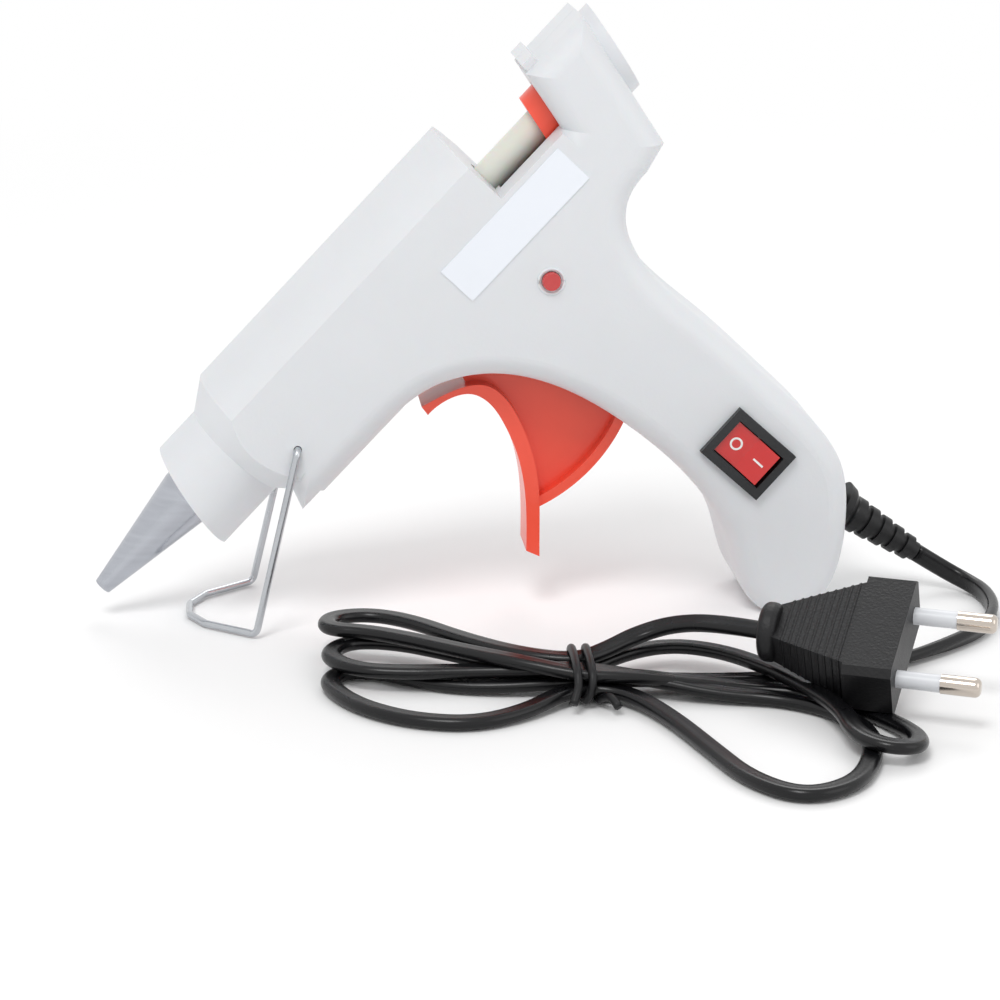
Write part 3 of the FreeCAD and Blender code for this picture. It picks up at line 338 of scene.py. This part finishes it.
def plug_ribs():
    """Raised bands round the tapering neck of the plug."""
    verts, faces = [], []
    for i in range(RIBS):
        x = RIB_FIRST + i * RIB_STEP
        share = (x - NECK_START) / NECK_LENGTH
        y = 4.3 + NECK_GROWS_Y * share + 0.35
        z = 3.3 + NECK_GROWS_Z * share + 0.3
        y1 = y + NECK_GROWS_Y * 0.8 / NECK_LENGTH
        z1 = z + NECK_GROWS_Z * 0.8 / NECK_LENGTH
        base = len(verts)
        rings = ((x, y, z, 0), (x + 0.15, y, z, RIB_RISE), (x + 0.7, y1, z1, RIB_RISE), (x + 0.85, y1, z1, 0))
        for xx, yy, zz, grow in rings:
            for sy, sz in ((-1, -1), (1, -1), (1, 1), (-1, 1)):
                corner = Vector((xx, sy * (yy - RIB_SUNK + grow), sz * (zz - RIB_SUNK + grow)))
                verts.append(PLUG @ (corner * MM))
        for r in range(3):
            for j in range(4):
                k = (j + 1) % 4
                faces.append((base + r * 4 + j, base + r * 4 + k, base + r * 4 + 4 + k, base + r * 4 + 4 + j))
        faces += [(base + 3, base + 2, base + 1, base), (base + 12, base + 13, base + 14, base + 15)]
    return add_mesh("plug_ribs", verts, faces, "plug", smooth=False)


ribs = plug_ribs()
bevel = ribs.modifiers.new("round", "BEVEL")
bevel.width = RIB_BEVEL * MM
bevel.segments = 2
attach(ribs, "housing")


# ---- switch marks and lamp ring -----------------------------------------
HALF_WIDTH = 16.0
ROCKER_AXIS_Y = -14.6
SWITCH_PLACE = Matrix.Translation(Vector((MIDDLE_X + 57.3, 0, 38.2)) * MM)
SWITCH = SWITCH_PLACE @ Matrix.Rotation(math.radians(42.0), 4, "Y")
# The rocker at rest, tipped by half its travel about its axis.
ROCK = Matrix.Translation(Vector((0, ROCKER_AXIS_Y, 0)) * MM) @ Matrix.Rotation(math.radians(-9.0), 4, "Z") @ (
    Matrix.Translation(Vector((0, -ROCKER_AXIS_Y, 0)) * MM))
O_CENTRE, O_OUTER, O_INNER = -3.2, 1.45, 1.0
O_SIDES = 36
I_START, I_END, I_HALF = 1.9, 4.6, 0.22
MARK_SUNK = 0.03


def on_rocker(x, out, z):
    """A point on the rocker: x along it, out from the housing's side, z across it."""
    return SWITCH @ (ROCK @ (Vector((x, -HALF_WIDTH - out, z)) * MM))


def rocker_top(x):
    """How far the rocker's slightly hollow face stands out at x."""
    return 1.0 + 0.8 * abs(x) / 6.0 + 0.02


def o_mark():
    verts, faces = [], []
    for i in range(O_SIDES):
        angle = 2 * math.pi * i / O_SIDES
        for r, lift in ((O_OUTER, 0.0), (O_OUTER, 0.1), (O_INNER, 0.1), (O_INNER, 0.0)):
            x, z = O_CENTRE + r * math.cos(angle), r * math.sin(angle)
            verts.append(on_rocker(x, rocker_top(x) + lift - MARK_SUNK, z))
    for i in range(O_SIDES):
        k = (i + 1) % O_SIDES
        for j in range(4):
            m = (j + 1) % 4
            faces.append((i * 4 + j, i * 4 + m, k * 4 + m, k * 4 + j))
    return add_mesh("mark_o", verts, faces, "mark", smooth=False)


def i_mark():
    verts = []
    for lift in (-MARK_SUNK, 0.08):
        for x, z in ((I_START, -I_HALF), (I_END, -I_HALF), (I_END, I_HALF), (I_START, I_HALF)):
            verts.append(on_rocker(x, rocker_top(x) + lift, z))
    faces = [(3, 2, 1, 0), (4, 5, 6, 7), (0, 1, 5, 4), (1, 2, 6, 5), (2, 3, 7, 6), (3, 0, 4, 7)]
    return add_mesh("mark_i", verts, faces, "mark", smooth=False)


for mark in (o_mark(), i_mark()):
    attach(mark, "rocker")

LAMP_RING_R, LAMP_RING_WIRE = 2.75, 0.35
RING_STEPS = 40
lamp = at(119.4, 22.6)
ring_path = [Vector((lamp.x + LAMP_RING_R * MM * math.cos(a), -16.05 * MM, lamp.z + LAMP_RING_R * MM * math.sin(a)))
             for a in [2 * math.pi * i / RING_STEPS for i in range(RING_STEPS + 1)]]
lamp_ring = sweep("lamp_ring", ring_path, round_section(LAMP_RING_WIRE * MM, 10), "housing")
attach(lamp_ring, "housing")

# ---- stage, light and camera --------------------------------------------
FLOOR_HALF, FLOOR_Z = 6, -0.0002
FLOOR_TONE = (0.97, 0.97, 0.97, 1)
WHITE_FROM, WHITE_TO = 0.25, 0.75  # metres from the origin over which the floor turns to the white of the backdrop
WORLD_LIGHT, WORLD_SEEN = 0.68, 1.0
LIGHTS = [  # name, place, size, power
    ("key", (-0.35, -0.75, 1.25), 0.55, 7.2),
    ("fill", (0.9, -0.6, 0.5), 0.8, 1.3),
    ("back", (0.3, 1.0, 1.1), 0.8, 4.0),
]
LIT_POINT = (0, 0, 0.05)
AZIMUTH = math.radians(-6)
EYE_DISTANCE, EYE_HEIGHT = 0.6, 0.2023
LENS, SENSOR = 100, 36


def seen_directly(tree):
    """A socket that is 1 for what the camera, a reflection or clear plastic sees, and 0 for light on the object."""
    path = tree.nodes.new("ShaderNodeLightPath")
    seen = path.outputs["Is Camera Ray"]
    for ray in ("Is Glossy Ray", "Is Transmission Ray"):
        either = tree.nodes.new("ShaderNodeMath")
        either.operation = "MAXIMUM"
        tree.links.new(seen, either.inputs[0])
        tree.links.new(path.outputs[ray], either.inputs[1])
        seen = either.outputs["Value"]
    return seen


def stage_material():
    """Pale and matt, keeping the shadow near the object; further off it is seen as plain white."""
    mat = bpy.data.materials.new("stage_white")
    mat.use_nodes = True
    tree = mat.node_tree
    shader = tree.nodes["Principled BSDF"]
    shader.inputs["Base Color"].default_value = FLOOR_TONE
    shader.inputs["Roughness"].default_value = 0.9
    shader.inputs["Specular IOR Level"].default_value = 0.0
    coords = tree.nodes.new("ShaderNodeTexCoord")
    distance = tree.nodes.new("ShaderNodeVectorMath")
    distance.operation = "LENGTH"
    fade = tree.nodes.new("ShaderNodeMapRange")
    fade.inputs["From Min"].default_value = WHITE_FROM
    fade.inputs["From Max"].default_value = WHITE_TO
    far = tree.nodes.new("ShaderNodeMath")
    far.operation = "MULTIPLY"
    white = tree.nodes.new("ShaderNodeEmission")
    mix = tree.nodes.new("ShaderNodeMixShader")
    tree.links.new(coords.outputs["Object"], distance.inputs[0])
    tree.links.new(distance.outputs["Value"], fade.inputs["Value"])
    tree.links.new(fade.outputs["Result"], far.inputs[0])
    tree.links.new(seen_directly(tree), far.inputs[1])
    tree.links.new(far.outputs["Value"], mix.inputs["Fac"])
    tree.links.new(shader.outputs["BSDF"], mix.inputs[1])
    tree.links.new(white.outputs["Emission"], mix.inputs[2])
    tree.links.new(mix.outputs["Shader"], tree.nodes["Material Output"].inputs["Surface"])
    return mat


def stage_floor():
    mesh = bpy.data.meshes.new("floor")
    corners = [(-1, -1), (1, -1), (1, 1), (-1, 1)]
    verts = [(x * FLOOR_HALF, y * FLOOR_HALF, FLOOR_Z) for x, y in corners]
    mesh.from_pydata(verts, [], [(0, 1, 2, 3)])
    floor = bpy.data.objects.new("floor", mesh)
    bpy.context.scene.collection.objects.link(floor)
    mesh.materials.append(stage_material())
    return floor


def aimed(name, data, place, target):
    """A lamp or camera at a place, looking at the target."""
    piece = bpy.data.objects.new(name, data)
    piece.location = place
    piece.rotation_euler = (Vector(target) - Vector(place)).to_track_quat("-Z", "Y").to_euler()
    bpy.context.scene.collection.objects.link(piece)
    return piece


def area_light(name, place, size, power):
    data = bpy.data.lights.new(name, "AREA")
    data.shape = "DISK"
    data.size = size
    data.energy = power
    aimed(name, data, place, LIT_POINT)


def studio_world():
    world = bpy.data.worlds.new("studio")
    world.use_nodes = True
    tree = world.node_tree
    background = tree.nodes["Background"]
    background.inputs["Color"].default_value = (1, 1, 1, 1)
    strength = tree.nodes.new("ShaderNodeMapRange")
    strength.inputs["To Min"].default_value = WORLD_LIGHT
    strength.inputs["To Max"].default_value = WORLD_SEEN
    tree.links.new(seen_directly(tree), strength.inputs["Value"])
    tree.links.new(strength.outputs["Result"], background.inputs["Strength"])
    return world


def main_camera():
    data = bpy.data.cameras.new("camera")
    data.lens = LENS
    data.sensor_width = SENSOR
    target = Vector((MIDDLE_X + 4.2, 0, 24.3)) * MM
    eye = (target.x + EYE_DISTANCE * math.sin(AZIMUTH), -EYE_DISTANCE * math.cos(AZIMUTH), EYE_HEIGHT)
    return aimed("camera", data, eye, target)


stage_floor()
for light in LIGHTS:
    area_light(*light)
bpy.context.scene.world = studio_world()
bpy.context.scene.camera = main_camera()
bpy.context.scene.view_settings.view_transform = "Standard"
